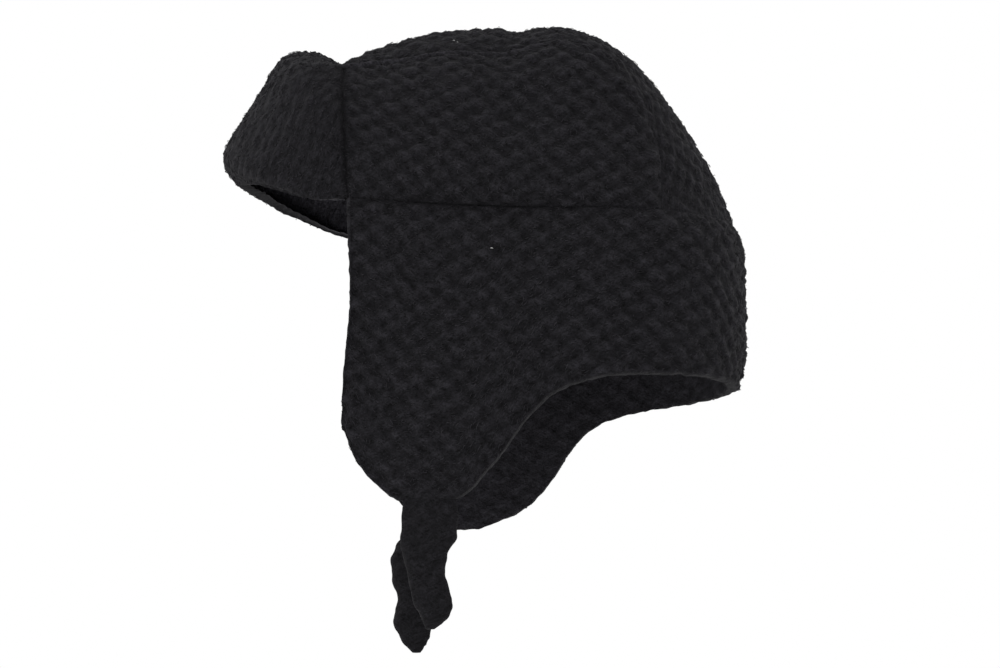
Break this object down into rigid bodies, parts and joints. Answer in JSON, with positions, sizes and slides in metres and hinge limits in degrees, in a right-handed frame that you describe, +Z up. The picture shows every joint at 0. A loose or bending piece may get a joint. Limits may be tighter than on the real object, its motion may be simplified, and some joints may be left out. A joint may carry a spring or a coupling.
{
  "type": "aviator hat",
  "caption": "Thick knitted aviator hat with a rounded crown, a hollow front peak, a deep band with ear flaps and short soft ties.",
  "frame": {"origin": "top of the hollow on the centre line, where the crown rests on a head", "axes": "+Z up, -Y towards the peak and the wearer's front, +X towards the wearer's left ear"},
  "size_m": [0.173, 0.2829, 0.3291],
  "materials": {
    "knit": "matt woolly yarn in a thick diagonal basket stitch"
  },
  "bodies": {
    "root": {"crown_side_left": "knit", "crown_side_right": "knit", "crown_centre_strip": "knit", "ear_flap_band": "knit", "peak_band": "knit", "peak": "knit", "left_tie": "knit", "right_tie": "knit"}
  },
  "joints": []
}
